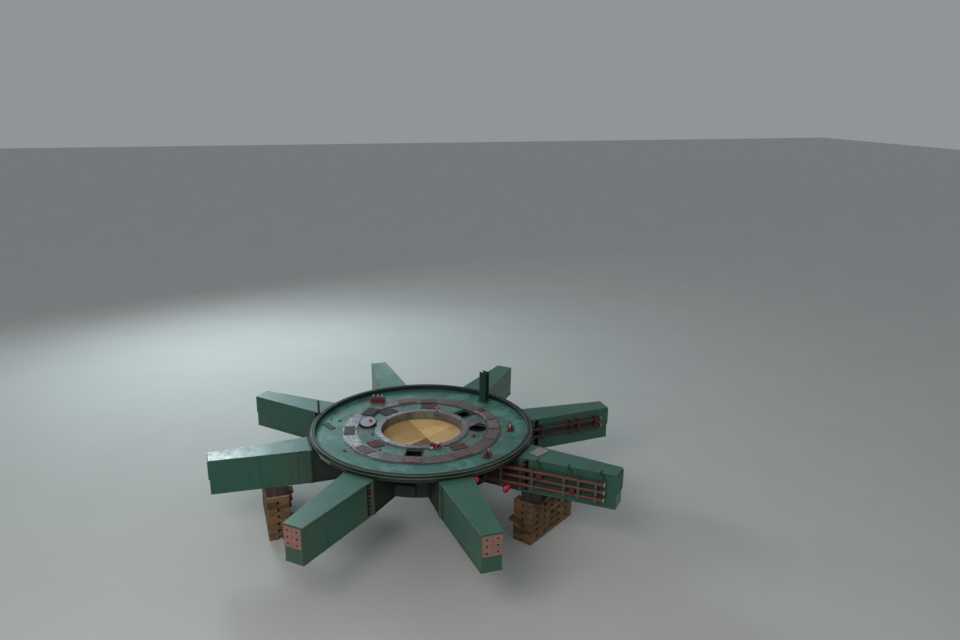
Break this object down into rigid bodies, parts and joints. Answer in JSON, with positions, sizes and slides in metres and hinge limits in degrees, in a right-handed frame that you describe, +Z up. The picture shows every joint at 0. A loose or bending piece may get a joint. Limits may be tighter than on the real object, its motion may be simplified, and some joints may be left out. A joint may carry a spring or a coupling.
{
  "type": "hydroelectric generator bearing bracket",
  "caption": "Round plated hub with a raised rim and a covered well, and tapering box-girder arms bolted to it, standing on timber cribs.",
  "frame": {"origin": "on the floor, under the centre of the hub", "axes": "+Z up along the hub's axis, +X along arm 1; the arms follow every 45 degrees anticlockwise"},
  "size_m": [9.71, 9.71, 2.906],
  "materials": {
    "arm_paint": "satin machine paint, scuffed",
    "hub_paint": "satin machine paint, dusty",
    "deck_paint": "worn deck paint",
    "rim_paint": "worn paint over turned steel",
    "lid_paint": "light machine paint",
    "post_paint": "satin machine paint",
    "ring_steel": "turned steel, oiled and stained",
    "machined_steel": "turned steel, bright",
    "well_steel": "grey paint over steel",
    "cover_sheet": "thin boards, matt",
    "pipe_paint": "red-brown paint",
    "clamp_paint": "pale worn paint",
    "clamp_rust": "red-brown paint",
    "pad_steel": "machined steel with a pink protective film",
    "plate_steel": "bare plates, oily and rusted",
    "fitting_paint": "red-brown paint",
    "cap_paint": "red-brown paint with pink-red plastic caps",
    "timber": "rough sawn, dirty",
    "block_paint": "dark, dull"
  },
  "bodies": {
    "root": {"arm_1": "arm_paint", "arm_2": "arm_paint", "arm_3": "arm_paint", "arm_4": "arm_paint", "arm_5": "arm_paint", "arm_6": "arm_paint", "arm_7": "arm_paint", "arm_8": "arm_paint", "stub_1": "hub_paint", "stub_2": "hub_paint", "stub_3": "hub_paint", "stub_4": "hub_paint", "stub_5": "hub_paint", "stub_6": "hub_paint", "stub_7": "hub_paint", "stub_8": "hub_paint", "drum_shell": "hub_paint", "drum_floor": "hub_paint", "drum_ribs": "hub_paint", "well_wall": "well_steel", "well_ring": "machined_steel", "well_cover": "cover_sheet", "inner_deck": "deck_paint", "machined_ring": "ring_steel", "outer_deck": "deck_paint", "rim_lip": "rim_paint", "rim_band": "rim_paint", "port_lid": "lid_paint", "deck_post": "post_paint", "end_pads": "pad_steel", "loose_plates": "plate_steel", "deck_fittings": "fitting_paint", "capped_pipes": "cap_paint", "pipes_8": "pipe_paint", "pipes_1": "pipe_paint", "clamps_8": "clamp_paint", "clamps_1": "clamp_rust", "crib_2": "timber", "block_2": "block_paint", "crib_3": "timber", "block_3": "block_paint", "crib_5": "timber", "block_5": "block_paint", "crib_8": "timber", "block_8": "block_paint"}
  },
  "joints": []
}
